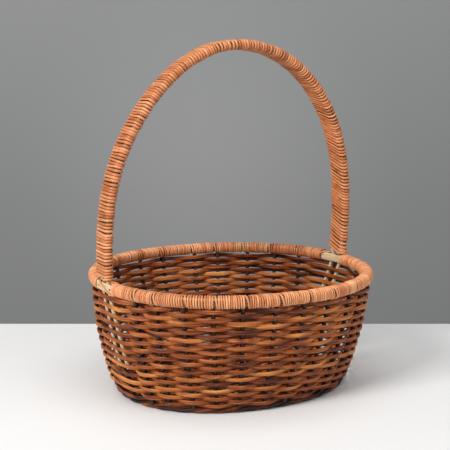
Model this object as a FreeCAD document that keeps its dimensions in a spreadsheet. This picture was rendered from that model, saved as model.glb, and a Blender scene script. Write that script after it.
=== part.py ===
import FreeCAD, Part
import math
import os

# A round-cornered oval basket of split rattan with a fixed bow handle.
# Millimetres, +Z up. The origin is on the table, under the middle of the basket.
# The oval's axes are X and Y. The handle stands almost in the XZ plane: as in the
# hand-made basket, its feet are a little off the long axis.

DIMENSIONS = [
    # alias, value, what it is
    ("mouth_half_length", 160.5, "rim centre line, along X"),
    ("mouth_half_width", 153.0, "rim centre line, along Y"),
    ("middle_half_length", 155.5, "wall centre line at middle_height, along X"),
    ("middle_half_width", 138.0, "wall centre line at middle_height, along Y"),
    ("bottom_half_length", 140.0, "wall centre line at bottom_height, along X"),
    ("bottom_half_width", 115.5, "wall centre line at bottom_height, along Y"),
    ("mouth_height", 134.0, "rim centre line above the table"),
    ("middle_height", 70.0, "height at which the middle oval is measured"),
    ("bottom_height", 8.0, "underside of the first row of weaving"),
    ("plan_power", 2.13, "superellipse power of every oval: 2 is an ellipse"),
    ("row_count", 25, "rows of weaving between foot and rim"),
    ("row_pitch", 4.72, "height from one row to the next"),
    ("weaver_tall", 4.4, "height of a split weaver"),
    ("weaver_thick", 2.2, "thickness of a split weaver"),
    ("weave_clearance", 0.25, "gap between a weaver and the stakes that it passes"),
    ("stake_radius", 2.2, "round rattan stake"),
    ("stake_top", 138.0, "stakes end between the two rim hoops"),
    ("foot_half_length", 137.5, "middle of the foot ring, along X"),
    ("foot_half_width", 112.5, "middle of the foot ring, along Y"),
    ("foot_tall", 7.4, "height of the waled foot ring"),
    ("mat_underside", 2.0, "the woven floor clears the table"),
    ("mat_thick", 7.4, "woven floor with its sticks inside"),
    ("base_stick_radius", 1.6, "sticks inside the floor"),
    ("base_stick_pitch", 12.0, "distance between floor sticks"),
    ("long_stick_length", 244.0, "floor sticks along X"),
    ("cross_stick_length", 194.0, "floor sticks along Y"),
    ("hoop_tall", 9.6, "height of the two flat rim hoops"),
    ("hoop_inset", 2.65, "half the gap between the two hoops"),
    ("hoop_outset", 5.4, "outer face of a hoop from the rim centre line"),
    ("binding_thick", 1.1, "cane binding strip"),
    ("binding_slack", 0.1, "clearance of a binding round what it binds"),
    ("bare_before", 5.1, "degrees left bare of rim binding clockwise of each handle foot"),
    ("bare_after", 10.2, "degrees left bare of rim binding anticlockwise of each handle foot"),
    ("handle_rod_radius", 4.0, "the two rods of the bow handle"),
    ("handle_rod_offset", 9.2, "each rod from the handle's middle plane"),
    ("tail_radius", 2.15, "shaved ends of the rods, pushed down inside the weave"),
    ("tail_angle", 2.8, "degrees from each shaved tail to the stake between the two"),
    ("tail_bottom", 44.0, "lower ends of the shaved tails"),
    ("handle_foot_height", 142.5, "the handle binding starts just above the rim"),
    ("left_foot_side", -5.0, "Y of the left handle foot"),
    ("right_foot_side", 12.5, "Y of the right handle foot"),
    ("lashing_wide", 3.0, "cane strip that lashes the hoops beside each foot"),
    ("lashing_before", 4.2, "degrees from a handle foot clockwise to a lashing"),
    ("lashing_after", 6.4, "degrees from a handle foot anticlockwise to a lashing"),
    ("nail_radius", 0.65, "small nails through the outer hoop"),
    ("nail_long", 3.3, "nail length with its head"),
    ("nail_before", 1.5, "degrees from a handle foot clockwise to a nail"),
    ("nail_after", 8.6, "degrees from a handle foot anticlockwise to a nail"),
]

# Centre line of the bow handle as X and Z of the corner points of straight runs that
# tangent arcs then join. It leans a little towards +X at the top, as a bent rod does.
HANDLE_CORNERS = [
    (-160.3, 142.5), (-160.2, 185.0), (-155.8, 229.0), (-145.6, 268.0), (-128.1, 304.5),
    (-102.4, 341.5), (-66.9, 375.5), (-24.8, 397.5), (14.8, 402.3), (53.3, 396.0),
    (88.2, 378.5), (117.0, 352.0), (139.6, 318.0), (154.5, 278.0), (161.7, 235.0),
    (162.6, 190.0), (159.5, 142.5),
]
ARC_SHARE = 0.45          # part of the shorter run that an arc takes at each corner

# Upright stakes between the handle feet, in degrees seen from above, anticlockwise from
# +X. They are as uneven as hand work is. One more stake stands at each handle foot.
STAKE_DEGREES = [
    29.0, 41.5, 55.0, 70.0, 82.0, 99.5, 113.0, 129.0, 142.0, 155.0, 168.0,
    204.0, 213.5, 225.0, 236.5, 248.0, 261.5, 274.5, 287.0, 301.0, 312.5, 323.5, 335.0, 348.0,
]
# The stake and the two rod tails at a foot lean round the wall together. Height above the
# table, and degrees anticlockwise of the handle foot.
FOOT_LEAN = [
    (7.7, 10.7), (44.0, 9.7), (70.0, 8.2), (95.0, 6.2), (121.0, 2.8), (130.0, 1.6), (145.5, 0.0),
]
FOOT_SPAN = (-1.5, 13.5)  # degrees about a foot over which a row stays outside or inside
POINTS_PER_GAP = 6        # points of a woven curve from one stake to the next

doc = FreeCAD.newDocument("wicker_basket")
sheet = doc.addObject("Spreadsheet::Sheet", "Dimensions")
for line_number, (alias, value, meaning) in enumerate(DIMENSIONS, start=1):
    sheet.set("A%d" % line_number, meaning)
    sheet.set("B%d" % line_number, str(value))
    sheet.setAlias("B%d" % line_number, alias)
doc.recompute()


def size(alias):
    """One driving dimension, read back from the sheet."""
    return float(getattr(sheet, alias))


Z_AXIS = FreeCAD.Vector(0, 0, 1)
ROW_COUNT = int(size("row_count"))
RING_POINTS = 64          # points of a plain oval curve
NODES = []


# ---- shapes of the oval wall -------------------------------------------------------

def through_three(height, low_value, middle_value, high_value):
    """Parabola through the wall's bottom, middle and mouth sizes."""
    low = size("bottom_height")
    middle = size("middle_height")
    high = size("mouth_height")
    low_part = low_value * (height - middle) * (height - high) / ((low - middle) * (low - high))
    middle_part = middle_value * (height - low) * (height - high) / ((middle - low) * (middle - high))
    high_part = high_value * (height - low) * (height - middle) / ((high - low) * (high - middle))
    return low_part + middle_part + high_part


def wall_halves(height):
    """Half length and half width of the wall's centre line at a height."""
    length = through_three(height, size("bottom_half_length"), size("middle_half_length"),
                           size("mouth_half_length"))
    width = through_three(height, size("bottom_half_width"), size("middle_half_width"),
                          size("mouth_half_width"))
    return length, width


def oval_radius(angle, halves):
    """Distance from the axis to a superellipse, in the direction of an angle."""
    power = size("plan_power")
    along = abs(math.cos(angle) / halves[0]) ** power
    across = abs(math.sin(angle) / halves[1]) ** power
    return (along + across) ** (-1.0 / power)


def wall_lean(angle, height):
    """How far the wall moves outwards for each millimetre of height."""
    step = 0.5
    above = oval_radius(angle, wall_halves(height + step))
    below = oval_radius(angle, wall_halves(height - step))
    return (above - below) / (2.0 * step)


def oval_point(angle, halves, offset, height):
    """A point of an oval, moved outwards by an offset."""
    radius = oval_radius(angle, halves) + offset
    return FreeCAD.Vector(radius * math.cos(angle), radius * math.sin(angle), height)


def foot_angle(side):
    """Direction of a handle foot seen from above, side -1 for the left one, +1 for the right."""
    if side < 0:
        return math.pi - math.asin(size("left_foot_side") / size("mouth_half_length"))
    return math.asin(size("right_foot_side") / size("mouth_half_length"))


def weave_stops():
    """Where a row passes one stake after another: start and end angle of each, in order."""
    stops = [(math.radians(a), math.radians(a)) for a in STAKE_DEGREES]
    for side in (1, -1):
        stops.append(tuple(foot_angle(side) + math.radians(a) for a in FOOT_SPAN))
    return sorted(stops)


def weave_waves():
    """Angles round the wall, each with a wave: +1 outside a stake, -1 inside the next.

    A row keeps to one side of a foot's stake and both rod tails.
    """
    stops = weave_stops()
    waves = []
    for number, (start, end) in enumerate(stops):
        sign = 1.0 if number % 2 == 0 else -1.0
        if end > start:
            waves += [(start + (end - start) * k / 3.0, sign) for k in range(3)]
        following = stops[number + 1][0] if number + 1 < len(stops) else stops[0][0] + 2.0 * math.pi
        for k in range(POINTS_PER_GAP):
            part = k / POINTS_PER_GAP
            waves.append((end + (following - end) * part, sign * math.cos(math.pi * part)))
    return waves


def closed_curve(points):
    curve = Part.BSplineCurve()
    curve.interpolate(Points=points, PeriodicFlag=True)
    return Part.Wire([curve.toShape()])


def oval_wire(halves, offset, height):
    angles = [2.0 * math.pi * k / RING_POINTS for k in range(RING_POINTS)]
    points = [oval_point(angle, halves, offset, height) for angle in angles]
    return closed_curve(points)


def weave_swing(angle, height):
    """How far a row swings either side of the wall line: enough to clear the leaning stakes."""
    lean = abs(wall_lean(angle, height))
    stake_reach = size("stake_radius") * math.sqrt(1.0 + lean * lean)
    return (stake_reach + 0.5 * size("weaver_thick") + size("weave_clearance")
            + 0.5 * lean * size("weaver_tall"))


def woven_wire(halves, offset, side, height):
    middle = height + 0.5 * size("weaver_tall")
    points = []
    for angle, wave in weave_waves():
        swing = side * weave_swing(angle, middle) * wave
        points.append(oval_point(angle, halves, offset + swing, height))
    return closed_curve(points)


def band_face(outer_wire, inner_wire):
    return Part.makeFace([outer_wire, inner_wire], "Part::FaceMakerBullseye")


def sector_face(halves, inner_offset, outer_offset, start, end, height):
    """Piece of an oval band between two angles."""
    steps = RING_POINTS // 2
    angles = [start + (end - start) * k / steps for k in range(steps + 1)]
    outer = [oval_point(angle, halves, outer_offset, height) for angle in angles]
    inner = [oval_point(angle, halves, inner_offset, height) for angle in angles]
    outer_curve = Part.BSplineCurve()
    outer_curve.interpolate(outer)
    inner_curve = Part.BSplineCurve()
    inner_curve.interpolate(inner)
    edges = [
        outer_curve.toShape(),
        Part.makeLine(outer[-1], inner[-1]),
        inner_curve.toShape(),
        Part.makeLine(inner[0], outer[0]),
    ]
    return Part.Face(Part.Wire(Part.__sortEdges__(edges)))


# ---- document objects --------------------------------------------------------------

def keep(thing, label):
    """Give a finished sub-part its label, which is also its file name."""
    thing.Label = label
    NODES.append(thing)
    return thing


def bind(thing, **cells):
    for prop, expression in cells.items():
        thing.setExpression(prop, expression)
    return thing


def computed(name, shape):
    """A profile or centre line worked out from the sheet."""
    thing = doc.addObject("Part::Feature", name)
    thing.Shape = shape
    return thing


def raised(name, face, height_expression):
    """A flat profile raised straight up."""
    profile = computed(name + "_profile", face)
    solid = doc.addObject("Part::Extrusion", name + "_solid")
    solid.Base = profile
    solid.DirMode = "Custom"
    solid.Dir = Z_AXIS
    solid.Solid = True
    return bind(solid, LengthFwd=height_expression)


def swept(name, section, spine_wire):
    """A closed section swept along a centre line."""
    spine = computed(name + "_spine", spine_wire)
    solid = doc.addObject("Part::Sweep", name + "_sweep")
    solid.Sections = [section]
    solid.Spine = (spine, ["Edge%d" % k for k in range(1, len(spine_wire.Edges) + 1)])
    solid.Solid = True
    solid.Frenet = False
    return solid


def round_section(name, spine_wire, radius_expression):
    """A circle at the start of a centre line, square to it."""
    edge = spine_wire.OrderedEdges[0]
    start = edge.valueAt(edge.FirstParameter)
    tangent = edge.tangentAt(edge.FirstParameter)
    circle = doc.addObject("Part::Circle", name + "_circle")
    circle.Placement = FreeCAD.Placement(start, FreeCAD.Rotation(Z_AXIS, tangent))
    return bind(circle, Radius=radius_expression)


def rod(name, spine_wire, radius_expression):
    return swept(name, round_section(name, spine_wire, radius_expression), spine_wire)


def cut(name, base, tool):
    result = doc.addObject("Part::Cut", name + "_cut")
    result.Base = base
    result.Tool = tool
    return result


def grouped(name, members):
    """Separate solids that share one node."""
    group = doc.addObject("Part::Compound", name + "_group")
    group.Links = members
    return group


def wall_arc(angle, low, high):
    """Centre line of an upright that follows the wall, as one arc in its radial plane."""
    heights = (low, 0.5 * (low + high), high)
    points = [oval_point(angle, wall_halves(z), 0.0, z) for z in heights]
    return Part.Wire([Part.Arc(*points).toShape()])


def foot_lean(height):
    """Angle from a handle foot to the stake below it, at a height."""
    for (low, low_lean), (high, high_lean) in zip(FOOT_LEAN, FOOT_LEAN[1:]):
        if height <= high:
            share = (height - low) / (high - low)
            return math.radians(low_lean + (high_lean - low_lean) * share)
    return math.radians(FOOT_LEAN[-1][1])


def leaning_upright(foot, aside, low, high):
    """Centre line of an upright at a handle foot, along the wall but leaning round it."""
    heights = [low] + [z for z, lean in FOOT_LEAN if low + 4.0 < z < high - 4.0] + [high]
    points = [oval_point(foot + aside + foot_lean(z), wall_halves(z), 0.0, z) for z in heights]
    curve = Part.BSplineCurve()
    curve.interpolate(points)
    return Part.Wire([curve.toShape()])


def handle_side(x):
    """Y of the handle's middle plane."""
    left, right = HANDLE_CORNERS[0][0], HANDLE_CORNERS[-1][0]
    slope = (size("right_foot_side") - size("left_foot_side")) / (right - left)
    return size("left_foot_side") + slope * (x - left)


def handle_across():
    """Level direction square to the handle's middle plane."""
    return FreeCAD.Vector(handle_side(0.0) - handle_side(1.0), 1.0, 0.0).normalize()


def arc_joined_path(corners):
    """Straight runs between corner points, joined by tangent arcs, in the handle's plane."""
    points = [FreeCAD.Vector(x, handle_side(x), z) for x, z in corners]
    edges = []
    last = points[0]
    for before, corner, after in zip(points, points[1:], points[2:]):
        into = (corner - before).normalize()
        out = (after - corner).normalize()
        reach = ARC_SHARE * min((corner - before).Length, (after - corner).Length)
        arc_start = corner - into * reach
        arc_end = corner + out * reach
        half_turn = 0.5 * into.getAngle(out)
        middle_reach = reach * (1.0 / math.cos(half_turn) - 1.0) / math.tan(half_turn)
        inward = (out - into).normalize()
        arc_middle = corner + inward * middle_reach
        edges.append(Part.makeLine(last, arc_start))
        edges.append(Part.Arc(arc_start, arc_middle, arc_end).toShape())
        last = arc_end
    edges.append(Part.makeLine(last, points[-1]))
    return Part.Wire(edges)


# ---- floor -------------------------------------------------------------------------

def floor_sticks(name, count, length_cell, along_x, height):
    """Parallel round sticks through the floor, side by side."""
    sticks = []
    for k in range(count):
        stick = doc.addObject("Part::Cylinder", "%s_%d" % (name, k + 1))
        bind(stick, Radius="Dimensions.base_stick_radius", Height="Dimensions." + length_cell)
        side = (k - (count - 1) / 2.0) * size("base_stick_pitch")
        start = -0.5 * size(length_cell)
        if along_x:
            place = FreeCAD.Vector(start, side, height)
            turn = FreeCAD.Rotation(Z_AXIS, FreeCAD.Vector(1, 0, 0))
        else:
            place = FreeCAD.Vector(side, start, height)
            turn = FreeCAD.Rotation(Z_AXIS, FreeCAD.Vector(0, 1, 0))
        stick.Placement = FreeCAD.Placement(place, turn)
        sticks.append(stick)
    return grouped(name, sticks)


def stick_tunnels(name, count, length_cell, along_x, height):
    """The holes that the floor sticks lie in: the sticks with the binding slack added."""
    tunnels = []
    slack = size("binding_slack")
    for k in range(count):
        side = (k - (count - 1) / 2.0) * size("base_stick_pitch")
        reach = 0.5 * size(length_cell) + slack
        start = FreeCAD.Vector(-reach, side, height) if along_x else FreeCAD.Vector(side, -reach, height)
        way = FreeCAD.Vector(1, 0, 0) if along_x else FreeCAD.Vector(0, 1, 0)
        tunnels.append(Part.makeCylinder(size("base_stick_radius") + slack, 2.0 * reach, start, way))
    return computed(name, Part.makeCompound(tunnels))


def make_floor():
    long_height = size("mat_underside") + 0.27 * size("mat_thick")
    cross_height = size("mat_underside") + 0.73 * size("mat_thick")
    halves = (size("foot_half_length"), size("foot_half_width"))
    outline = Part.Face(oval_wire(halves, -4.8, size("mat_underside")))
    plate = raised("base_mat_plate", outline, "Dimensions.mat_thick")
    long_tunnels = stick_tunnels("long_tunnels", 8, "long_stick_length", True, long_height)
    cross_tunnels = stick_tunnels("cross_tunnels", 10, "cross_stick_length", False, cross_height)
    mat = cut("base_mat_long", plate, long_tunnels)
    keep(cut("base_mat", mat, cross_tunnels), "base_mat")
    keep(floor_sticks("long_sticks", 8, "long_stick_length", True, long_height), "base_sticks_long")
    keep(floor_sticks("cross_sticks", 10, "cross_stick_length", False, cross_height), "base_sticks_cross")


def make_foot():
    """The waled ring that the basket stands on, with its flat underside on the table."""
    halves = (size("foot_half_length"), size("foot_half_width"))
    face = band_face(oval_wire(halves, 3.6, 0.0), oval_wire(halves, -4.5, 0.0))
    keep(raised("foot_wale", face, "Dimensions.foot_tall"), "foot_wale")


# ---- wall --------------------------------------------------------------------------

def make_rows():
    """Each row weaves outside one stake and inside the next; its neighbours do the opposite."""
    half = 0.5 * size("weaver_thick")
    for row in range(ROW_COUNT):
        height = size("bottom_height") + row * size("row_pitch")
        halves = wall_halves(height + 0.5 * size("weaver_tall"))
        side = 1 if row % 2 == 0 else -1
        face = band_face(woven_wire(halves, half, side, height), woven_wire(halves, -half, side, height))
        name = "weaver_row_%02d" % (row + 1)
        keep(raised(name, face, "Dimensions.weaver_tall"), name)


def make_stakes():
    """Stakes stand on the foot ring and end between the rim hoops, two neighbours to a node."""
    low = size("foot_tall") + 0.3
    high = size("stake_top")
    spines = [(math.radians(a), wall_arc(math.radians(a), low, high)) for a in STAKE_DEGREES]
    for side in (1, -1):
        foot = foot_angle(side)
        spines.append((foot, leaning_upright(foot, 0.0, low, high)))
    spines.sort(key=lambda entry: entry[0])
    stakes = [rod("stake_%02d" % number, spine, "Dimensions.stake_radius")
              for number, (angle, spine) in enumerate(spines, start=1)]
    for pair in range(len(stakes) // 2):
        keep(grouped("stake_pair_%d" % (pair + 1), stakes[2 * pair:2 * pair + 2]),
             "stake_pair_%02d" % (pair + 1))


# ---- rim ---------------------------------------------------------------------------

def hoop(name, inner_offset, outer_offset):
    halves = (size("mouth_half_length"), size("mouth_half_width"))
    underside = size("mouth_height") - 0.5 * size("hoop_tall")
    face = band_face(oval_wire(halves, outer_offset, underside), oval_wire(halves, inner_offset, underside))
    return raised(name, face, "Dimensions.hoop_tall")


def outward_at(angle):
    """Level direction square to the rim at an angle."""
    halves = (size("mouth_half_length"), size("mouth_half_width"))
    along = oval_point(angle + 0.01, halves, 0.0, 0.0) - oval_point(angle - 0.01, halves, 0.0, 0.0)
    return along.cross(Z_AXIS).normalize()


def nail_places():
    """Start points and directions of the nails, two at each handle foot, pointing inwards."""
    halves = (size("mouth_half_length"), size("mouth_half_width"))
    places = []
    for side in (-1, 1):
        for turn in (-size("nail_before"), size("nail_after")):
            angle = foot_angle(side) + math.radians(turn)
            outward = outward_at(angle)
            middle = oval_point(angle, halves, 0.0, size("mouth_height"))
            places.append((middle + outward * (size("hoop_outset") + 0.6), outward * -1.0))
    return places


def make_hoops():
    outer_hoop = hoop("outer_hoop", size("hoop_inset"), size("hoop_outset"))
    hole_radius = size("nail_radius") + 0.05
    hole_long = size("nail_long") + 0.8
    holes = [Part.makeCylinder(hole_radius, hole_long, start, way) for start, way in nail_places()]
    keep(cut("rim_hoop_outer", outer_hoop, computed("nail_holes", Part.makeCompound(holes))),
         "rim_hoop_outer")
    keep(hoop("inner_hoop", -size("hoop_outset"), -size("hoop_inset")), "rim_hoop_inner")


def make_nails():
    nails = []
    for number, (start, way) in enumerate(nail_places(), start=1):
        nail = doc.addObject("Part::Cylinder", "nail_%d" % number)
        bind(nail, Radius="Dimensions.nail_radius", Height="Dimensions.nail_long")
        nail.Placement = FreeCAD.Placement(start, FreeCAD.Rotation(Z_AXIS, way))
        nails.append(nail)
    keep(grouped("nails", nails), "hoop_nails")


def rim_binding(name, start, end):
    """Cane bound round both hoops from one handle foot to the other, as one hollow sleeve."""
    halves = (size("mouth_half_length"), size("mouth_half_width"))
    void = size("hoop_outset") + size("binding_slack")
    skin = void + size("binding_thick")
    void_tall = size("hoop_tall") + 2.0 * size("binding_slack")
    low = size("mouth_height") - 0.5 * void_tall
    sleeve = raised(name + "_outside",
                    sector_face(halves, -skin, skin, start, end, low - size("binding_thick")),
                    "Dimensions.hoop_tall + 2 * Dimensions.binding_slack + 2 * Dimensions.binding_thick")
    hollow = raised(name + "_inside",
                    sector_face(halves, -void, void, start - 0.01, end + 0.01, low),
                    "Dimensions.hoop_tall + 2 * Dimensions.binding_slack")
    open_sleeve = cut(name + "_tube", sleeve, hollow)
    passages = []
    for angle in [math.radians(a) for a in STAKE_DEGREES]:
        if start < angle < end:
            foot = oval_point(angle, wall_halves(low), 0.0, low - 3.0)
            passages.append(Part.makeCylinder(size("stake_radius") + 0.3, 6.0, foot, Z_AXIS))
    return cut(name, open_sleeve, computed(name + "_passages", Part.makeCompound(passages)))


def make_rim_bindings():
    before = math.radians(size("bare_before"))
    after = math.radians(size("bare_after"))
    left = foot_angle(-1)
    right = foot_angle(1)
    keep(rim_binding("rim_binding_back", right + after, left - before), "rim_binding_back")
    keep(rim_binding("rim_binding_front", left + after, right - before + 2.0 * math.pi),
         "rim_binding_front")


def lashing(name, angle):
    """One turn of cane round both hoops, square to the rim."""
    void = size("hoop_outset") + size("binding_slack")
    halves = (size("mouth_half_length"), size("mouth_half_width"))
    middle = oval_point(angle, halves, 0.0, size("mouth_height"))
    outward = outward_at(angle)
    along = Z_AXIS.cross(outward)
    turn = FreeCAD.Rotation(FreeCAD.Vector(1, 0, 0), outward)
    loops = []
    for part, extra in (("outside", size("binding_thick")), ("inside", 0.0)):
        box = doc.addObject("Part::Box", "%s_%s" % (name, part))
        wide = "2 * (Dimensions.hoop_outset + Dimensions.binding_slack)"
        tall = "Dimensions.hoop_tall + 2 * Dimensions.binding_slack"
        if extra:
            wide += " + 2 * Dimensions.binding_thick"
            tall += " + 2 * Dimensions.binding_thick"
        bind(box, Length=wide, Width="Dimensions.lashing_wide", Height=tall)
        down = 0.5 * size("hoop_tall") + size("binding_slack") + extra
        corner = (middle - outward * (void + extra) - along * (0.5 * size("lashing_wide"))
                  - Z_AXIS * down)
        box.Placement = FreeCAD.Placement(corner, turn)
        loops.append(box)
    return cut(name, loops[0], loops[1])


def make_lashings():
    for label, side in (("left", -1), ("right", 1)):
        turns = []
        for where, aside in (("before", -size("lashing_before")), ("after", size("lashing_after"))):
            angle = foot_angle(side) + math.radians(aside)
            turns.append(lashing("lashing_%s_%s" % (label, where), angle))
        keep(grouped("lashings_" + label, turns), "foot_lashing_" + label)


# ---- handle ------------------------------------------------------------------------

def make_handle_rods(path):
    """Two round rods bent side by side, with shaved tails pushed down beside a stake."""
    for where, side in (("front", -1.0), ("back", 1.0)):
        shifted = path.translated(handle_across() * (side * size("handle_rod_offset")))
        pieces = [rod("handle_rod_" + where, shifted, "Dimensions.handle_rod_radius")]
        for foot, way in (("right", 1), ("left", -1)):
            aside = way * side * math.radians(size("tail_angle"))
            spine = leaning_upright(foot_angle(way), aside, size("tail_bottom"),
                                    size("handle_foot_height") + 3.0)
            pieces.append(rod("tail_%s_%s" % (where, foot), spine, "Dimensions.tail_radius"))
        whole = doc.addObject("Part::MultiFuse", "handle_rod_%s_whole" % where)
        whole.Shapes = pieces
        keep(whole, "handle_rod_" + where)


def rounded_band(name, spine_wire, half_wide, half_thick):
    """Section of the handle binding: a long slot shape round both rods."""
    edge = spine_wire.OrderedEdges[0]
    start = edge.valueAt(edge.FirstParameter)
    tangent = edge.tangentAt(edge.FirstParameter)
    across = handle_across()
    outward = tangent.cross(across)
    flat = half_wide - half_thick
    ends = []
    for side in (1.0, -1.0):
        centre = start + across * (side * flat)
        ends.append((centre + outward * (side * half_thick), centre + across * (side * half_thick),
                     centre - outward * (side * half_thick)))
    edges = [
        Part.Arc(*ends[0]).toShape(),
        Part.makeLine(ends[0][2], ends[1][0]),
        Part.Arc(*ends[1]).toShape(),
        Part.makeLine(ends[1][2], ends[0][0]),
    ]
    return computed(name, Part.Wire(edges))


def make_handle_binding(path):
    inner_thick = size("handle_rod_radius") + size("binding_slack")
    inner_wide = size("handle_rod_offset") + inner_thick
    skin = size("binding_thick")
    outside = swept("handle_outside", rounded_band("handle_outside_section", path,
                                                   inner_wide + skin, inner_thick + skin), path)
    inside = swept("handle_inside", rounded_band("handle_inside_section", path,
                                                 inner_wide, inner_thick), path)
    keep(cut("handle_binding", outside, inside), "handle_binding")


# ---- build, check and write --------------------------------------------------------

def check_document():
    for thing in doc.Objects:
        state = set(thing.State)
        if state & {"Invalid", "Error"}:
            raise RuntimeError("%s failed: %s" % (thing.Label, thing.State))
    for node in NODES:
        shape = node.Shape
        if shape.isNull() or not shape.isValid():
            raise RuntimeError("%s has no valid shape" % node.Label)
        if not shape.Solids:
            raise RuntimeError("%s has no solid" % node.Label)


def write_parts():
    os.makedirs("parts", exist_ok=True)
    for node in NODES:
        node.Shape.exportStep(os.path.join("parts", node.Label + ".step"))
        print("%-20s solids %2d  volume %9.1f mm3" % (node.Label, len(node.Shape.Solids), node.Shape.Volume))


handle_path = arc_joined_path(HANDLE_CORNERS)
make_floor()
make_foot()
make_rows()
make_stakes()
make_hoops()
make_nails()
make_rim_bindings()
make_lashings()
make_handle_rods(handle_path)
make_handle_binding(handle_path)
doc.recompute()
check_document()
print("handle path length %.1f mm" % handle_path.Length)
write_parts()
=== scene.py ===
import math
import random

import bpy
import numpy as np
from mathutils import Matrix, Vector


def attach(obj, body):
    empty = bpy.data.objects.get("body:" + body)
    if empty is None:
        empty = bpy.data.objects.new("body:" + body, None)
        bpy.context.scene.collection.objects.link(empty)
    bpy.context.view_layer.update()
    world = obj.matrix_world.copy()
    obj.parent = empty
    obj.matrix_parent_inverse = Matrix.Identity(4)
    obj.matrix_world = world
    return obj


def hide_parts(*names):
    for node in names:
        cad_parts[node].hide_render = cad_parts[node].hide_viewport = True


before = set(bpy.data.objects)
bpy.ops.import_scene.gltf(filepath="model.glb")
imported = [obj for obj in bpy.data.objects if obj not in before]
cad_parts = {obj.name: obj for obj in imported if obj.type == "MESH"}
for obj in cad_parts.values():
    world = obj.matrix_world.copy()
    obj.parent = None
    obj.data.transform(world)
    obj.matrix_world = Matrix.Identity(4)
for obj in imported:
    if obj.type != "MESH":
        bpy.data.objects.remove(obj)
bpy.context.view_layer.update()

MM = 0.001
UP = np.array([0.0, 0.0, 1.0])


# ---- camera: the photograph's viewing angle ------------------------------------------

camera_data = bpy.data.cameras.new("camera")
camera_data.sensor_width = 36.0
camera_data.lens = 77.55
camera = bpy.data.objects.new("camera", camera_data)
camera.location = (-0.5119, -1.0151, 0.3735)
camera.rotation_euler = (math.radians(90.0 - 9.168), 0.0, math.radians(-26.409))
bpy.context.scene.collection.objects.link(camera)
bpy.context.scene.camera = camera


# ---- the basket's own dimensions, in millimetres and degrees -------------------------
# The ovals, rows, stakes, handle feet and handle line are laid out as in the CAD; the canes
# have sections of their own. "Halves" are an oval's half length and half width.

POWER = 2.13                        # how boxy every oval is: 2 would be an ellipse

WALL_HALVES = ((140.0, 115.5), (155.5, 138.0), (160.5, 153.0))
WALL_HEIGHTS = (8.0, 70.0, 134.0)   # bottom of the lowest row, middle, rim centre line
MOUTH = WALL_HALVES[-1]
RIM_Z = WALL_HEIGHTS[-1]

ROWS = 25
PITCH = 4.72
HALF_ROW = 2.2
WEAVER = (5.05, 1.95)               # width and thickness of a split cane
THIN_WEAVER = (3.1, 1.7)            # the same where two thin canes make up one row
THIN_LIFT = 1.12                    # how far each of the two lies from the row's middle
SWING = 3.75                        # how far a row passes outside or inside the wall's line
LAP = math.radians(9)               # how far the ends of two canes overlap

STAKES = [29.0, 41.5, 55.0, 70.0, 82.0, 99.5, 113.0, 129.0, 142.0, 155.0, 168.0,
          204.0, 213.5, 225.0, 236.5, 248.0, 261.5, 274.5, 287.0, 301.0, 312.5, 323.5, 335.0, 348.0]
STAKE_RADIUS = 2.45
STAKE_HEIGHTS = (7.0, 137.8)
# how far round the wall the stake and rod tails under a handle foot lean, by height
LEAN_Z = [7.7, 44.0, 70.0, 95.0, 121.0, 130.0, 145.5]
LEAN = [10.7, 9.7, 8.2, 6.2, 2.8, 1.6, 0.0]
FOOT_SPAN = (-1.5, 13.5)            # what a row passes in one go at a handle foot

FOOT_HALVES = (137.5, 112.5)
FOOT_CANE_RADIUS = 1.95
FOOT_TWISTS = 13

FLOOR_HALVES = (131.7, 106.7)
FLOOR_EDGE = (130.4, 105.4)
FLOOR_LINES, FLOOR_PITCH = 43, 4.9
FLOOR_CANE = (4.7, 1.3)
RIB_PITCH = 12.0
RIBS = [RIB_PITCH * (k + 0.5) for k in range(-11, 11)]
RIB_RADIUS = 1.3
MIDDLE_RIBS = 55                    # the ribs nearer the middle than this are the cross sticks
RUNNER_RADIUS = 1.5

HOOP_OFFSET = 4.0                   # each hoop's middle from the rim's centre line
HOOP_HALF_TALL, HOOP_HALF_THICK = 4.75, 1.35
RIM_PITCH = 2.45
RIM_STRIP = (2.2, 1.6)
RIM_HALF_WIDE, RIM_HALF_TALL, RIM_POWER = 6.15, 5.75, 2.4
BARE_START, BARE_END = 5.1, 10.2    # degrees before and after a foot where the hoops are bare

LEFT_SIDE, RIGHT_SIDE = -5.0, 12.5  # y of the handle feet
LEFT_FOOT = math.pi - math.asin(LEFT_SIDE / MOUTH[0])
RIGHT_FOOT = math.asin(RIGHT_SIDE / MOUTH[0])
HANDLE = [(-160.3, 142.5), (-160.2, 185.0), (-155.8, 229.0), (-145.6, 268.0), (-128.1, 304.5),
          (-102.4, 341.5), (-66.9, 375.5), (-24.8, 397.5), (14.8, 402.3), (53.3, 396.0),
          (88.2, 378.5), (117.0, 352.0), (139.6, 318.0), (154.5, 278.0), (161.7, 235.0),
          (162.6, 190.0), (159.5, 142.5)]
ROD_OFFSET = 9.2                    # each rod's middle from the handle's centre line
ROD_RADIUS = 3.9
TAIL_RADIUS = 2.3
TAIL_HEIGHTS = (44.0, 144.5)
TAIL_ASIDE = math.radians(2.8)
HANDLE_STRIP = (3.15, 1.6)
HANDLE_WRAP_RADIUS = 4.6            # of the two half circles of the wound section
HANDLE_LOOSE = 26                   # length at the right foot where the winding is loose


def unit(v):
    return v / np.maximum(np.linalg.norm(v, axis=-1, keepdims=True), 1e-12)


def run_length(points):
    """Distance along a line, at each of its points."""
    return np.concatenate([[0.0], np.cumsum(np.linalg.norm(np.diff(points, axis=0), axis=1))])


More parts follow.
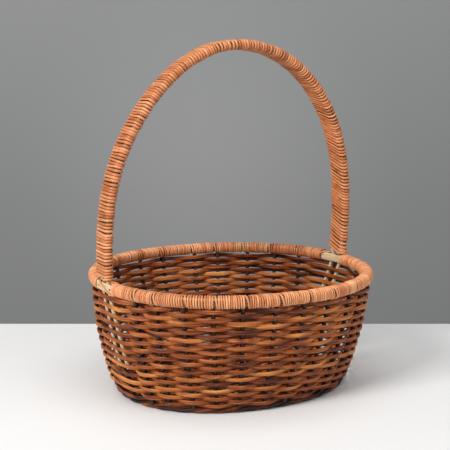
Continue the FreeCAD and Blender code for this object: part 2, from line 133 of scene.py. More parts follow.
def wall_halves(z):
    """Halves of the wall at each height: a parabola through the three known ovals."""
    z = np.asarray(z, float)
    a, b, c = WALL_HEIGHTS
    la = (z - b) * (z - c) / ((a - b) * (a - c))
    lb = (z - a) * (z - c) / ((b - a) * (b - c))
    lc = (z - a) * (z - b) / ((c - a) * (c - b))
    low, middle, high = WALL_HALVES
    return (low[0] * la + middle[0] * lb + high[0] * lc,
            low[1] * la + middle[1] * lb + high[1] * lc)


def oval(angle, halves):
    """Distance of an oval from its middle, in each direction."""
    return (np.abs(np.cos(angle) / halves[0]) ** POWER
            + np.abs(np.sin(angle) / halves[1]) ** POWER) ** (-1 / POWER)


def chord(offset, half_along, half_across):
    """Half length of the line that crosses an oval at an offset from its middle."""
    share = min(1.0, abs(offset) / half_across)
    return half_along * (1 - share ** POWER) ** (1 / POWER)


def wall_point(angle, z, out=0.0, halves=None):
    """Points on the wall (or on a given oval), moved outwards by out."""
    angle, z, out = np.broadcast_arrays(np.asarray(angle, float), np.asarray(z, float),
                                        np.asarray(out, float))
    r = oval(angle, wall_halves(z) if halves is None else halves) + out
    return np.stack([r * np.cos(angle), r * np.sin(angle), z], -1)


def wall_normal(angle, z):
    """Outward direction square to the wall."""
    e = 0.004
    along = wall_point(angle + e, z) - wall_point(angle - e, z)
    up = wall_point(angle, np.asarray(z) + 1.0) - wall_point(angle, np.asarray(z) - 1.0)
    return unit(np.cross(along, up))


def smooth_noise(x, seed, scale):
    """Slow random curve between -1 and 1, the same on each run."""
    size = 4096
    table = np.random.default_rng(seed).uniform(-1, 1, size)
    t = np.asarray(x, float) / scale
    i = np.floor(t).astype(int)
    f = t - i
    f = f * f * (3 - 2 * f)
    return table[i % size] * (1 - f) + table[(i + 1) % size] * f


def catmull(values, t):
    """Smooth curve through values at t = 0, 1, 2 ..."""
    values = np.concatenate([[2 * values[0] - values[1]], values, [2 * values[-1] - values[-2]]])
    i = np.clip(np.floor(t).astype(int), 0, len(values) - 4)
    f = t - i
    a, b, c, d = (values[i + k] for k in range(4))
    return 0.5 * (2 * b + (c - a) * f + (2 * a - 5 * b + 4 * c - d) * f ** 2
                  + (3 * b - a - 3 * c + d) * f ** 3)


# ---- strands -------------------------------------------------------------------------

class Strands:
    """Gathers canes into one mesh, with lengthwise UVs in metres and a tone at each point."""

    def __init__(self):
        self.verts, self.faces, self.uvs, self.tones = [], [], [], []
        self.count = 0

    def add(self, points, normal, profile, tone, wide=1.0, thick=1.0, closed=False):
        """points and normal are N x 3; profile is (across, outwards) in mm; wide and thick
        scale it."""
        points = np.asarray(points, float)
        n = len(points)
        if closed:
            tangent = unit(np.roll(points, -1, 0) - np.roll(points, 1, 0))
        else:
            tangent = unit(np.gradient(points, axis=0))
        normal = np.broadcast_to(normal, points.shape)
        normal = unit(normal - tangent * np.sum(normal * tangent, -1, keepdims=True))
        across = np.cross(normal, tangent)
        profile = np.asarray(profile, float)
        k = len(profile)
        wide = np.broadcast_to(np.asarray(wide, float), (n,))
        thick = np.broadcast_to(np.asarray(thick, float), (n,))
        ring = (points[:, None] + across[:, None] * (profile[None, :, 0:1] * wide[:, None, None])
                + normal[:, None] * (profile[None, :, 1:2] * thick[:, None, None]))
        self.verts.append(ring.reshape(-1, 3))

        rows = n if closed else n - 1
        i, j = np.meshgrid(np.arange(rows), np.arange(k), indexing="ij")
        i2, j2 = (i + 1) % n, (j + 1) % k
        quad = np.stack([i * k + j, i2 * k + j, i2 * k + j2, i * k + j2], -1).reshape(-1, 4)
        self.faces += (quad + self.count).tolist()

        length = run_length(points)
        last_step = np.linalg.norm(points[-1] - points[0]) if closed else 0.0
        length = np.append(length, length[-1] + last_step)
        girth = run_length(np.vstack([profile, profile[:1]]))
        u = np.stack([length[i], length[i + 1], length[i + 1], length[i]], -1)
        v = np.stack([girth[j], girth[j], girth[j + 1], girth[j + 1]], -1)
        self.uvs.append(np.stack([u, v], -1).reshape(-1, 2) * MM)
        if not closed:
            self.faces.append(list(range(self.count + k - 1, self.count - 1, -1)))
            self.faces.append(list(range(self.count + (n - 1) * k, self.count + n * k)))
            self.uvs.append(np.tile([[length[0] * MM, 0.0]], (k, 1)))
            self.uvs.append(np.tile([[length[-1] * MM, 0.0]], (k, 1)))
        self.tones.append(np.repeat(np.broadcast_to(np.asarray(tone, float), (n,)), k))
        self.count += n * k

    def finish(self, name, material, slot, node):
        mesh = bpy.data.meshes.new(name)
        mesh.from_pydata((np.vstack(self.verts) * MM).tolist(), [], self.faces)
        layer = mesh.uv_layers.new(name="along")
        layer.data.foreach_set("uv", np.vstack(self.uvs).astype(np.float32).ravel())
        attribute = mesh.attributes.new("tone", "FLOAT", "POINT")
        attribute.data.foreach_set("value", np.concatenate(self.tones).astype(np.float32))
        mesh.polygons.foreach_set("use_smooth", np.ones(len(mesh.polygons), bool))
        mesh.materials.append(material)
        mesh.update()
        piece = bpy.data.objects.new(name, mesh)
        bpy.context.scene.collection.objects.link(piece)
        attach(piece, "root")
        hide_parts(node)


def flat_cane(width, thick, count=12, crown=0.35):
    """Section of a split cane: flat inside, rounded outside, in mm."""
    out = []
    for k in range(count):
        a = 2 * math.pi * k / count
        x = math.copysign(abs(math.cos(a)) ** 0.85, math.cos(a)) * width / 2
        y = math.copysign(abs(math.sin(a)) ** 0.9, math.sin(a)) * thick / 2
        if y > 0:
            y *= 1.0 + crown * (1 - (2 * x / width) ** 2)
        out.append((x, y))
    return out


def boxy_oval(half_wide, half_thick, count=20, power=0.7):
    out = []
    for k in range(count):
        a = 2 * math.pi * k / count
        x, y = math.cos(a), math.sin(a)
        out.append((half_wide * math.copysign(abs(x) ** power, x),
                    half_thick * math.copysign(abs(y) ** power, y)))
    return out


def round_cane(radius, count=12):
    turns = [2 * math.pi * k / count for k in range(count)]
    return [(radius * math.cos(turn), radius * math.sin(turn)) for turn in turns]


# ---- materials -----------------------------------------------------------------------

def cane_material(name, dark, middle, light, rough, grain=1.0, coat=0.0, specular=0.35):
    """Cane: long fibres, slow colour changes along a strand, its own tone for each strand,
    satin skin."""
    material = bpy.data.materials.new(name)
    material.use_nodes = True
    tree = material.node_tree
    nodes, links = tree.nodes, tree.links
    nodes.clear()
    out = nodes.new("ShaderNodeOutputMaterial")
    shader = nodes.new("ShaderNodeBsdfPrincipled")
    links.new(shader.outputs["BSDF"], out.inputs["Surface"])
    uv = nodes.new("ShaderNodeUVMap")
    uv.uv_map = "along"
    tone = nodes.new("ShaderNodeAttribute")
    tone.attribute_name = "tone"

    def stretched(along, across, detail, place):
        """Noise stretched along the strand; its scales are per metre. Each tone has its own."""
        scale = nodes.new("ShaderNodeMapping")
        scale.inputs["Scale"].default_value = (along, across, 1.0)
        scale.inputs["Location"].default_value = (place, place * 0.37, 0.0)
        links.new(uv.outputs["UV"], scale.inputs["Vector"])
        shift = nodes.new("ShaderNodeVectorMath")
        shift.operation = "ADD"
        spread = nodes.new("ShaderNodeMath")
        spread.operation = "MULTIPLY"
        spread.inputs[1].default_value = 31.7
        links.new(tone.outputs["Fac"], spread.inputs[0])
        combine = nodes.new("ShaderNodeCombineXYZ")
        links.new(spread.outputs[0], combine.inputs["Z"])
        links.new(scale.outputs["Vector"], shift.inputs[0])
        links.new(combine.outputs["Vector"], shift.inputs[1])
        noise = nodes.new("ShaderNodeTexNoise")
        noise.inputs["Scale"].default_value = 1.0
        noise.inputs["Detail"].default_value = detail
        links.new(shift.outputs["Vector"], noise.inputs["Vector"])
        return noise.outputs["Fac"]

    fibres = stretched(55.0, 2600.0, 3.0, 3.1)
    streaks = stretched(28.0, 700.0, 2.0, 7.7)
    patches = stretched(22.0, 60.0, 2.0, 1.3)

    def math_node(op, a, b, clamp=False):
        node = nodes.new("ShaderNodeMath")
        node.operation = op
        node.use_clamp = clamp
        for socket, value in zip(node.inputs, (a, b)):
            if isinstance(value, (int, float)):
                socket.default_value = value
            else:
                links.new(value, socket)
        return node.outputs[0]

    def swings(noise, share):
        return math_node("MULTIPLY", math_node("SUBTRACT", noise, 0.5), share * grain)

    mixed = math_node("ADD", swings(fibres, 0.35), swings(streaks, 0.75))
    mixed = math_node("ADD", mixed, swings(patches, 0.8))
    mixed = math_node("ADD", mixed, tone.outputs["Fac"], clamp=True)
    ramp = nodes.new("ShaderNodeValToRGB")
    stops = ramp.color_ramp.elements
    stops[1].color = (*light, 1)
    stops[0].color = (*(channel * 0.1 for channel in dark), 1)
    for position, colour in ((0.14, dark), (0.5, middle)):
        stops.new(position).color = (*colour, 1)
    links.new(mixed, ramp.inputs["Fac"])
    links.new(ramp.outputs["Color"], shader.inputs["Base Color"])
    roughness = math_node("ADD", math_node("MULTIPLY", streaks, 0.28), rough - 0.14)
    links.new(roughness, shader.inputs["Roughness"])
    shader.inputs["Coat Weight"].default_value = coat
    shader.inputs["Specular IOR Level"].default_value = specular
    shader.inputs["Coat Roughness"].default_value = 0.28
    height = math_node("ADD", math_node("MULTIPLY", fibres, 0.5), streaks)
    relief = nodes.new("ShaderNodeBump")
    relief.inputs["Strength"].default_value = 0.25
    relief.inputs["Distance"].default_value = 0.0006
    links.new(height, relief.inputs["Height"])
    links.new(relief.outputs["Normal"], shader.inputs["Normal"])
    return material


weaver_cane = cane_material(
    "weaver_cane", (0.085, 0.014, 0.003), (0.318, 0.075, 0.012), (0.650, 0.262, 0.072),
    0.44, grain=1.35, specular=0.28)
stake_cane = cane_material(
    "stake_cane", (0.008, 0.003, 0.001), (0.022, 0.007, 0.003), (0.065, 0.025, 0.012),
    0.45, coat=0.05)
binding_cane = cane_material(
    "binding_cane", (0.200, 0.045, 0.012), (0.590, 0.205, 0.075), (0.860, 0.450, 0.215),
    0.40, grain=0.8, coat=0.12)
bare_cane = cane_material(
    "bare_cane", (0.380, 0.240, 0.110), (0.640, 0.470, 0.270), (0.800, 0.680, 0.460),
    0.55, grain=0.6)
nail_steel = cane_material(
    "nail_steel", (0.030, 0.026, 0.024), (0.080, 0.070, 0.062), (0.200, 0.180, 0.160),
    0.45, grain=0.5)


# ---- wall ----------------------------------------------------------------------------

def weave_table():
    """Angles round the wall and, for each, the wave: +1 outside a stake, -1 inside the next."""
    stops = [(math.radians(a), math.radians(a)) for a in STAKES]
    for foot in (RIGHT_FOOT, LEFT_FOOT):
        stops.append((foot + math.radians(FOOT_SPAN[0]), foot + math.radians(FOOT_SPAN[1])))
    stops.sort()
    held_steps, crossing_steps = 6, 20
    angles, waves = [], []
    for number, (start, end) in enumerate(stops):
        sign = 1.0 if number % 2 == 0 else -1.0
        if end > start:
            for k in range(held_steps):
                angles.append(start + (end - start) * k / held_steps)
                waves.append(sign)
        last = number + 1 == len(stops)
        following = stops[0][0] + 2 * math.pi if last else stops[number + 1][0]
        for k in range(crossing_steps):
            angles.append(end + (following - end) * k / crossing_steps)
            waves.append(sign * math.cos(math.pi * k / crossing_steps))
    return np.array(angles), np.array(waves)


TABLE_ANGLES, TABLE_WAVES = weave_table()


def wave_at(angle):
    first = TABLE_ANGLES[0]
    a = (np.asarray(angle) - first) % (2 * math.pi) + first
    return np.interp(a, np.append(TABLE_ANGLES, first + 2 * math.pi),
                     np.append(TABLE_WAVES, TABLE_WAVES[0]))


def weave_angles(start, end):
    """The table's angles from start to end, which may pass a full turn."""
    turns = np.concatenate([TABLE_ANGLES + 2 * math.pi * k for k in (-1, 0, 1, 2)])
    inside = turns[(turns > start + 0.004) & (turns < end - 0.004)]
    return np.concatenate([[start], inside, [end]])


def wall_row(row):
    """One round of weaving: two or three canes that lap, some of them a pair of thin ones."""
    rng = random.Random(100 + row)
    strands = Strands()
    side = 1.0 if row % 2 == 0 else -1.0
    middle = WALL_HEIGHTS[0] + row * PITCH + HALF_ROW
    joins = sorted(rng.uniform(0, 2 * math.pi) for _ in range(rng.choice((2, 3))))
    for number, begin in enumerate(joins):
        last = number + 1 == len(joins)
        finish = joins[(number + 1) % len(joins)] + (2 * math.pi if last else 0.0)
        angle = weave_angles(begin, finish + LAP)
        wave = wave_at(angle)
        seed = 1000 * row + number
        tone = 0.47 + rng.uniform(-0.3, 0.26)
        doubled = rng.random() < 0.3
        section = flat_cane(*(THIN_WEAVER if doubled else WEAVER))
        for part in ((-1, 1) if doubled else (0,)):
            wobble = 0.24 * smooth_noise(angle, seed, 0.16) + 0.13 * smooth_noise(angle, seed + 7, 0.05)
            lift = part * (THIN_LIFT + 0.15 * smooth_noise(angle, seed + part, 0.2))
            z = middle + wobble + lift
            swing = SWING + 0.3 * smooth_noise(angle, seed + 3, 0.25)
            # the start of each cane lies just inside the end of the one before it
            lap = np.clip((LAP - (angle - begin)) / LAP, 0, 1)
            out = side * wave * swing + 0.25 * smooth_noise(angle, seed + 5, 0.08) - 0.9 * lap
            tall = (1.0 + 0.03 * np.abs(wave)) * (1 + 0.08 * smooth_noise(angle, seed + 9, 0.22))
            ends = np.clip(np.minimum(angle - angle[0], angle[-1] - angle) / 0.03, 0.35, 1)
            twist = 0.16 * smooth_noise(angle, seed + 11, 0.3)
            turned = unit(wall_normal(angle, z) + UP * twist[:, None])
            # each cane's own tone, with slow random swings along it; of a pair of thin canes the upper
            # one is painted lighter and the lower one darker, as painted light from above
            tone_and_top_light = tone + 0.1 * part * rng.random() + 0.08 * smooth_noise(angle, seed + 13, 0.5)
            strands.add(wall_point(angle, z, out), turned, section, tone_and_top_light,
                        wide=tall * ends, thick=ends)
    name = "weaver_row_%02d" % (row + 1)
    strands.finish("woven_" + name, weaver_cane, "weaver", name)


def upright(strands, angle, heights, radius, seed, tone, foot=None):
    """A stake or rod tail that follows the wall. At a handle foot it leans round the wall."""
    z = np.linspace(*heights, 40)
    turn = angle if foot is None else foot + angle + np.radians(np.interp(z, LEAN_Z, LEAN))
    points = wall_point(turn + 0.0015 * smooth_noise(z, seed, 30.0), z)
    size = 1 + 0.06 * smooth_noise(z, seed + 1, 14.0)
    strands.add(points, wall_normal(turn, z), round_cane(radius, 14), tone, wide=size, thick=size)


def make_stakes():
    entries = [(math.radians(a), None) for a in STAKES]
    entries += [(foot, foot) for foot in (RIGHT_FOOT, LEFT_FOOT)]
    entries.sort(key=lambda entry: entry[0])
    rng = random.Random(5)
    for pair in range(len(entries) // 2):
        strands = Strands()
        for number in (0, 1):
            angle, foot = entries[2 * pair + number]
            tone = 0.45 + rng.uniform(-0.25, 0.35)
            upright(strands, angle if foot is None else 0.0, STAKE_HEIGHTS, STAKE_RADIUS,
                    10 * pair + number, tone, foot)
        name = "stake_pair_%02d" % (pair + 1)
        strands.finish("cane_" + name, stake_cane, "stake", name)


def make_foot_wale():
    """Three canes twisted round each other: the ring that the basket stands on."""
    strands = Strands()
    angle = np.linspace(0, 2 * math.pi, 1400, endpoint=False)
    section = [(x, y * 1.1) for x, y in round_cane(FOOT_CANE_RADIUS)]
    for k in range(3):
        phase = FOOT_TWISTS * angle + 2 * math.pi * k / 3
        out = -0.45 + 2.15 * np.cos(phase)
        z = 3.72 + 1.62 * np.sin(phase)
        points = wall_point(angle, z, out, FOOT_HALVES)
        normal = unit(wall_point(angle, z, out + 1, FOOT_HALVES) - points)
        size = 1 + 0.05 * smooth_noise(angle, 40 + k, 0.1)
        # painted shade: the wale's canes get a very low tone, which stands in for the shade where the
        # basket meets the table
        tone = 0.04 + 0.05 * k + 0.05 * smooth_noise(angle, 50 + k, 0.4)
        strands.add(points, normal, section, tone, wide=size, thick=size, closed=True)
    strands.finish("twisted_foot_wale", weaver_cane, "weaver", "foot_wale")


def cross_stick(strands, x, half, count, z, tone):
    """A straight round stick along Y."""
    y = np.linspace(-half, half, count)
    points = np.stack([np.full_like(y, x), y, np.full_like(y, z)], -1)
    strands.add(points, UP, round_cane(RIB_RADIUS, 10), tone)


def make_floor():
    """Woven mat: canes along X over and under round ribs, on top of eight runners."""
    mat = Strands()
    rng = random.Random(9)
    for k in range(FLOOR_LINES):
        y = (k - (FLOOR_LINES - 1) / 2) * FLOOR_PITCH
        reach = chord(y, *FLOOR_HALVES) - 0.6
        x = np.linspace(-reach, reach, int(reach * 2 / 1.2))
        sign = 1 if k % 2 else -1
        z = 7.25 + sign * 1.75 * np.sin(math.pi * x / RIB_PITCH) + 0.1 * smooth_noise(x, 300 + k, 20)
        points = np.stack([x, np.full_like(x, y) + 0.2 * smooth_noise(x, 400 + k, 30), z], -1)
        mat.add(points, UP, flat_cane(*FLOOR_CANE, 10), 0.42 + rng.uniform(-0.2, 0.2))
    for x in RIBS:
        if abs(x) > MIDDLE_RIBS:
            cross_stick(mat, x, chord(x, *reversed(FLOOR_HALVES)) - 1.5, 30, 7.3, 0.3)
    # two canes twined round the edge of the floor
    turn = np.linspace(0, 2 * math.pi, 900, endpoint=False)
    height, swing = 6.2, 1.1
    outward = unit(wall_point(turn, height, 1.0, FLOOR_EDGE) - wall_point(turn, height, 0.0, FLOOR_EDGE))
    for k in (0, 1):
        phase = 36 * turn + math.pi * k
        edge = wall_point(turn, height + swing * np.sin(phase), swing * np.cos(phase), FLOOR_EDGE)
        mat.add(edge, outward, round_cane(1.5, 10), 0.28 + 0.1 * k, closed=True)
    mat.finish("woven_base_mat", weaver_cane, "weaver", "base_mat")

    cross = Strands()
    for x in RIBS:
        if abs(x) < MIDDLE_RIBS:
            cross_stick(cross, x, 97, 40, 7.4, 0.5)
    cross.finish("cane_base_sticks_cross", stake_cane, "stake", "base_sticks_cross")

    runners = Strands()
    for k in range(8):
        x = np.linspace(-122, 122, 60)
        y = np.full_like(x, (k - 3.5) * 12.0) + 0.4 * smooth_noise(x, 500 + k, 40)
        runners.add(np.stack([x, y, np.full_like(x, 3.9)], -1), UP, round_cane(RUNNER_RADIUS, 10), 0.55)
    runners.finish("cane_base_sticks_long", stake_cane, "stake", "base_sticks_long")


# ---- rim -----------------------------------------------------------------------------

def rim_frame(angle):
    """Point of the rim's centre line, and the level directions outwards and along it."""
    e = 0.003
    before, point, after = (wall_point(angle + step, RIM_Z, 0.0, MOUTH) for step in (-e, 0.0, e))
    along = unit(after - before)
    return point, np.cross(along, UP), along


def make_hoops():
    quarter = ((1, 0.6), (0.9, 1), (0.4, 1))
    outline = ([(-x, -y) for x, y in quarter] + [(x, -y) for x, y in reversed(quarter)]
               + list(quarter) + [(-x, y) for x, y in reversed(quarter)])
    section = [(x * HOOP_HALF_TALL, y * HOOP_HALF_THICK) for x, y in outline]
    angle = np.linspace(0, 2 * math.pi, 500, endpoint=False)
    point, outward, _ = rim_frame(angle)
    # painted shade: dark where the binding covers them, so that the gaps between its turns look shaded;
    # their own pale colour where they are bare beside the feet
    turns = [np.degrees((angle - foot + math.pi) % (2 * math.pi) - math.pi)
             for foot in (LEFT_FOOT, RIGHT_FOOT)]
    bare = np.any([(turn > -4.4) & (turn < 9.6) for turn in turns], axis=0)
    tone = np.where(bare, 0.55, 0.02) + 0.04 * smooth_noise(angle, 61, 0.2)
    for name, out in (("rim_hoop_outer", HOOP_OFFSET), ("rim_hoop_inner", -HOOP_OFFSET)):
        strands = Strands()
        strands.add(point + outward * out, outward, section, tone, closed=True)
        strands.finish("bare_" + name, bare_cane, "bare_cane", name)


def rim_turns(name, node, start, end, seed, face):
    """A cane strip wound round both hoops. Each stake makes it jump, which leaves a slanting gap.

    A turn goes from the top down the outer face and up the inner one. The strip jumps while it
    crosses one of them: face is 0.0 for the outer one and 0.5 for the inner one."""
    rng = random.Random(seed)
    marks = [math.radians(a) for a in STAKES if start < math.radians(a) + 0.01 < end - 0.03]
    angle, turn = start, 0
    angles, turns = [start], [0.0]
    while angle < end:
        radius = float(oval(np.array([angle]), MOUTH)[0])
        width = RIM_PITCH * (1 + rng.uniform(-0.12, 0.12))
        jump = bool(marks) and angle > marks[0]
        if jump:
            marks.pop(0)
            width += rng.uniform(1.6, 3.0)
            leaving = angle + 0.1 * width / radius
        elif rng.random() < 0.07:
            width += rng.uniform(0.5, 1.6)
        angle += width / radius
        turn += 1
        if jump:
            angles += [leaving, angle - 0.1 * width / radius]
            turns += [turn - 1 + face + 0.02, turn - 1 + face + 0.42]
        angles.append(angle)
        turns.append(float(turn))

    steps_per_turn = 26
    t = np.linspace(0, turn, turn * steps_per_turn + 1)
    centre = np.interp(t, turns, angles)
    theta = 2 * math.pi * t - math.pi / 2
    ca, sa = np.cos(theta), np.sin(theta)
    r = (np.abs(ca / RIM_HALF_WIDE) ** RIM_POWER
         + np.abs(sa / RIM_HALF_TALL) ** RIM_POWER) ** (-1 / RIM_POWER)
    r = r + 0.22 * smooth_noise(t, seed + 3, 0.9) + 0.12 * smooth_noise(t, seed + 4, 0.31)
    point, outward, along = rim_frame(centre)
    skew = 0.5 * smooth_noise(t, seed + 5, 3.0)
    radial = outward * ca[:, None] - UP * sa[:, None]
    points = point + radial * r[:, None] + along * (skew * sa)[:, None]
    tone = 0.60 + 0.18 * smooth_noise(t, seed + 6, 1.0) + 0.07 * smooth_noise(t, seed + 8, 7.0)
    wide = 1 + 0.12 * smooth_noise(t, seed + 7, 1.3)
    strands = Strands()
    strands.add(points, radial, flat_cane(*RIM_STRIP, 10, 0.9), tone, wide=wide)
    # a dark filling of painted shade, so that the gaps between the turns look deep
    point, outward, _ = rim_frame(np.linspace(start + 0.004, end - 0.004, 400))
    strands.add(point, outward, boxy_oval(4.9, 5.3), 0.0)
    strands.finish(name, binding_cane, "binding", node)


def lashing_strip(strands, foot, path, tone):
    """A strip through places given as degrees from the foot, outwards and up from the rim."""
    control = np.array(path, float)
    t = np.linspace(0, len(control) - 1, 60)
    turn, out, up = (catmull(control[:, c], t)[:, None] for c in range(3))
    point, outward, _ = rim_frame(foot + np.radians(turn[:, 0]))
    aside = outward * out + UP * up
    strands.add(point + aside, unit(aside), flat_cane(2.7, 0.9, 8, 0.5), tone)


def make_lashings():
    """Strips over the hoops beside each handle foot, and the small nails."""
    strips = (
        (0.75, [(-3.6, 1.0, 6.1), (-1.2, 4.6, 5.6), (1.6, 6.5, 3.4), (4.8, 6.6, -0.6),
                (8.0, 6.4, -4.3), (10.6, 4.6, -5.9), (12.0, 1.0, -6.1)]),
        (0.62, [(1.5, 0.6, 3.2), (3.4, 0.2, 5.4), (5.6, -2.4, 6.3), (8.0, -5.2, 5.6),
                (10.4, -6.4, 3.0), (12.6, -6.5, -1.0)]),
        (0.55, [(9.6, -6.3, 2.0), (8.2, -3.0, 5.9), (6.6, 0.8, 5.6), (5.6, 1.2, 3.0)]))
    for label, foot in (("left", LEFT_FOOT), ("right", RIGHT_FOOT)):
        strands = Strands()
        for tone, path in strips:
            lashing_strip(strands, foot, path, tone)
        strands.finish("lashing_" + label, binding_cane, "binding", "foot_lashing_" + label)

    nails = Strands()
    reach = np.array([2.7, 5.2, 5.45, 5.75, 6.0, 6.1])
    size = np.array([0.8, 0.8, 1.5, 1.6, 1.2, 0.3])
    for foot in (LEFT_FOOT, RIGHT_FOOT):
        for turn in (-1.5, 8.6):
            point, outward, _ = rim_frame(np.array([foot + math.radians(turn)]))
            nails.add(point + outward * reach[:, None], UP, round_cane(0.65), 0.4,
                      wide=size, thick=size)
    nails.finish("nails", nail_steel, "nail", "hoop_nails")


# ---- handle --------------------------------------------------------------------------

def handle_line():
    """The handle's centre line, evenly spaced, from the left foot to the right."""
    corners = np.array(HANDLE)
    t = np.linspace(0, len(corners) - 1, 3000)
    runs = np.stack([np.interp(t, np.arange(len(corners)), corners[:, c]) for c in range(2)], -1)
    length = run_length(runs)
    even = np.linspace(0, length[-1], 1400)
    line = np.stack([np.interp(even, length, runs[:, c]) for c in range(2)], -1)
    window = np.hanning(131)
    window /= window.sum()
    half = len(window) // 2
    smooth = []
    for values in line.T:
        padded = np.concatenate([2 * values[0] - values[half:0:-1], values,
                                 2 * values[-1] - values[-2:-half - 2:-1]])
        smooth.append(np.convolve(padded, window, "valid"))
    return even, np.stack(smooth, -1)


LINE_S, LINE_XZ = handle_line()
SLOPE = (RIGHT_SIDE - LEFT_SIDE) / (HANDLE[-1][0] - HANDLE[0][0])
ACROSS = unit(np.array([-SLOPE, 1.0, 0.0]))


def handle_frame(s):
    """Point and outward direction of the handle at a distance along it."""
    def line_at(place):
        return [np.interp(place, LINE_S, LINE_XZ[:, c]) for c in range(2)]

    x, z = line_at(s)
    y = LEFT_SIDE + SLOPE * (x - HANDLE[0][0])
    (low_x, low_z), (high_x, high_z) = line_at(s - 3.0), line_at(s + 3.0)
    dx, dz = high_x - low_x, high_z - low_z
    tangent = unit(np.stack([dx, SLOPE * dx, dz], -1))
    return np.stack([x, y, z], -1), np.cross(tangent, ACROSS)


def make_handle_rods():
    """Both rods, with painted shade where the binding covers them, and their pale tails inside the weave.
    """
    s = np.linspace(0, LINE_S[-1], 260)
    point, outward = handle_frame(s)
    wound = (s > 3.0) & (s < LINE_S[-1] - 7.0)
    # painted shade: the rods are dark where they are wound
    tone = np.where(wound, 0.03, 0.5) + 0.03 * smooth_noise(s, 70, 60)
    for where, side in (("front", -1.0), ("back", 1.0)):
        strands = Strands()
        strands.add(point + ACROSS * ROD_OFFSET * side, outward, round_cane(ROD_RADIUS, 14), tone)
        for foot, way in ((RIGHT_FOOT, 1), (LEFT_FOOT, -1)):
            upright(strands, way * side * TAIL_ASIDE, TAIL_HEIGHTS, TAIL_RADIUS, 80, 0.62, foot)
        strands.finish("cane_handle_rod_" + where, bare_cane, "bare_cane", "handle_rod_" + where)


def slot_section(q, flat, radius):
    """Places and outward directions at distances q round two flats and two half circles."""
    arc = math.pi * radius
    u, v, nu, nv = (np.zeros_like(q) for _ in range(4))
    a = q < flat
    u[a], v[a], nv[a] = -flat / 2 + q[a], radius, 1.0
    b = (q >= flat) & (q < flat + arc)
    w = (q[b] - flat) / radius
    u[b], v[b], nu[b], nv[b] = flat / 2 + radius * np.sin(w), radius * np.cos(w), np.sin(w), np.cos(w)
    c = (q >= flat + arc) & (q < 2 * flat + arc)
    u[c], v[c], nv[c] = flat / 2 - (q[c] - flat - arc), -radius, -1.0
    d = q >= 2 * flat + arc
    w = (q[d] - 2 * flat - arc) / radius
    u[d], v[d], nu[d], nv[d] = -flat / 2 - radius * np.sin(w), -radius * np.cos(w), -np.sin(w), -np.cos(w)
    return u, v, nu, nv


def make_handle_binding():
    """A cane strip wound round both rods, tight over the bow and loose at the right foot."""
    rng = random.Random(31)
    total = LINE_S[-1]
    s, places = 0.4, [0.4]
    while s < total - 4.0:
        pitch = (3.35 if s < 430 else 3.7) * (1 + rng.uniform(-0.13, 0.13))
        if rng.random() < 0.26:
            pitch += rng.uniform(0.4, 1.2)
        if s > total - HANDLE_LOOSE:
            pitch += 0.7
        s += pitch
        places.append(s)
    turn = len(places) - 1
    t = np.linspace(0, turn, turn * 44 + 1)
    along = np.interp(t, np.arange(len(places)), places)
    flat = 2 * ROD_OFFSET
    girth = 2 * flat + 2 * math.pi * HANDLE_WRAP_RADIUS
    u, v, nu, nv = slot_section((-t * girth) % girth, flat, HANDLE_WRAP_RADIUS)
    # the turns are almost square to the handle on its left and slant more and more on its right
    tilt = 0.07 + 0.33 * np.clip((along - 390) / 130, 0, 1) + 0.05 * smooth_noise(t, 90, 2.0)
    loose = np.clip((along - (total - HANDLE_LOOSE)) / 20, 0, 1)
    place = np.clip(along + tilt * u * np.where(along > 330, -1.0, 1.0), 0.2, total - 0.2)
    point, outward = handle_frame(place)
    lift = 0.22 * smooth_noise(t, 91, 1.1) + 0.3 * loose * (1 + smooth_noise(t, 92, 0.7))
    normal = unit(ACROSS * nu[:, None] + outward * nv[:, None])
    points = point + ACROSS * u[:, None] + outward * v[:, None] + normal * lift[:, None]
    tone = 0.50 + 0.13 * smooth_noise(t, 93, 1.0) + 0.06 * smooth_noise(t, 94, 8.0)
    wide = 1 + 0.12 * smooth_noise(t, 95, 1.7)
    strands = Strands()
    strands.add(points, normal, flat_cane(*HANDLE_STRIP, 10, 0.8), tone, wide=wide)
    # a dark filling of painted shade, so that the gaps between the turns look deep
    point, outward = handle_frame(np.linspace(1.0, total - 6.0, 500))
    strands.add(point, outward, boxy_oval(12.9, 3.9), 0.0)
    strands.finish("wound_handle_binding", binding_cane, "binding", "handle_binding")


# ---- build ---------------------------------------------------------------------------

for row_number in range(ROWS):
    wall_row(row_number)
make_stakes()
make_foot_wale()
make_floor()
make_hoops()
rim_turns("wound_rim_back", "rim_binding_back", RIGHT_FOOT + math.radians(BARE_END),
          LEFT_FOOT - math.radians(BARE_START), seed=201, face=0.5)
rim_turns("wound_rim_front", "rim_binding_front", LEFT_FOOT + math.radians(BARE_END),
          RIGHT_FOOT - math.radians(BARE_START) + 2 * math.pi, seed=202, face=0.0)
make_lashings()
make_handle_rods()
make_handle_binding()


# ---- stage and light: places are in metres, away from the camera, sideways and up -----

VIEW = Vector((0.4448, 0.8956, 0.0))
SIDEWAYS = Vector((0.8956, -0.4448, 0.0))
TABLE_EDGE = 0.258
BACKDROP = 1.6


def stage_place(away, aside, up=0.0):
    return VIEW * away + SIDEWAYS * aside + Vector((0.0, 0.0, up))


def plain_material(name, colour, rough):
    material = bpy.data.materials.new(name)
    material.use_nodes = True
    shader = material.node_tree.nodes["Principled BSDF"]
    shader.inputs["Base Color"].default_value = (*colour, 1)
    shader.inputs["Roughness"].default_value = rough
    return material


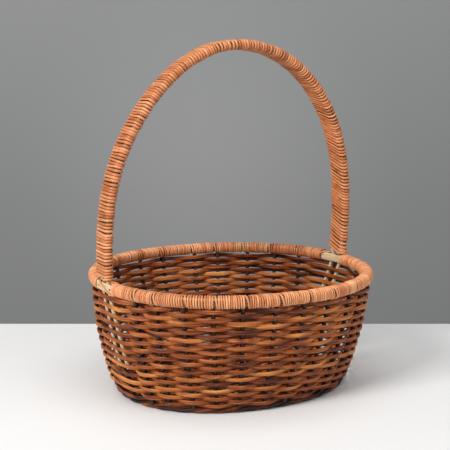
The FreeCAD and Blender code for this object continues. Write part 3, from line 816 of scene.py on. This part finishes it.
def backdrop_material():
    """Grey paper with a painted pool of light: a little lighter behind the basket."""
    material = plain_material("backdrop_grey", (0.36, 0.36, 0.36), 0.9)
    tree = material.node_tree
    where = tree.nodes.new("ShaderNodeTexCoord")
    away = tree.nodes.new("ShaderNodeVectorMath")
    away.operation = "DISTANCE"
    away.inputs[1].default_value = (0.66, 1.45, 0.06)
    tree.links.new(where.outputs["Object"], away.inputs[0])
    ramp = tree.nodes.new("ShaderNodeValToRGB")
    # painted light: the paper is lighter near a point behind the basket and darker further away
    painted_light_near, far = ramp.color_ramp.elements
    painted_light_near.color = (0.375, 0.378, 0.386, 1)
    far.color = (0.300, 0.304, 0.305, 1)
    far.position = 0.62
    ramp.color_ramp.interpolation = "EASE"
    tree.links.new(away.outputs["Value"], ramp.inputs["Fac"])
    tree.links.new(ramp.outputs["Color"], tree.nodes["Principled BSDF"].inputs["Base Color"])
    return material


def sheet_piece(name, corners, material):
    mesh = bpy.data.meshes.new(name)
    mesh.from_pydata([tuple(c) for c in corners], [], [(0, 1, 2, 3)])
    mesh.materials.append(material)
    piece = bpy.data.objects.new(name, mesh)
    bpy.context.scene.collection.objects.link(piece)


def area_light(name, place, target_height, size, power, colour=(1, 1, 1)):
    """A light that points at the basket's middle at a height."""
    data = bpy.data.lights.new(name, "AREA")
    data.shape = "RECTANGLE"
    data.size, data.size_y = size
    data.energy = power
    data.color = colour
    light = bpy.data.objects.new(name, data)
    light.location = place
    aim = Vector((0, 0, target_height)) - place
    light.rotation_euler = aim.to_track_quat("-Z", "Y").to_euler()
    bpy.context.scene.collection.objects.link(light)


sheet_piece("table_top", [stage_place(*place) for place in
                          ((TABLE_EDGE, 3), (TABLE_EDGE, -3), (-3, -3), (-3, 3))],
            plain_material("table_white", (0.83, 0.83, 0.825), 0.6))
sheet_piece("backdrop", [stage_place(BACKDROP, *place) for place in
                         ((5, -2), (-5, -2), (-5, 4), (5, 4))],
            backdrop_material())

area_light("key", stage_place(-2.1, -1.9, 2.0), 0.16, (1.1, 1.1), 103, (1.0, 0.992, 0.98))
area_light("top", stage_place(-0.55, 0.1, 2.2), 0.1, (2.2, 1.8), 26.5)
area_light("fill", stage_place(-1.2, 1.5, 0.9), 0.15, (1.5, 1.5), 9.5, (0.98, 0.99, 1.0))

world = bpy.data.worlds.new("studio")
world.use_nodes = True
background = world.node_tree.nodes["Background"]
background.inputs["Color"].default_value = (0.88, 0.88, 0.9, 1)
background.inputs["Strength"].default_value = 0.16
bpy.context.scene.world = world
bpy.context.scene.view_settings.view_transform = "Standard"
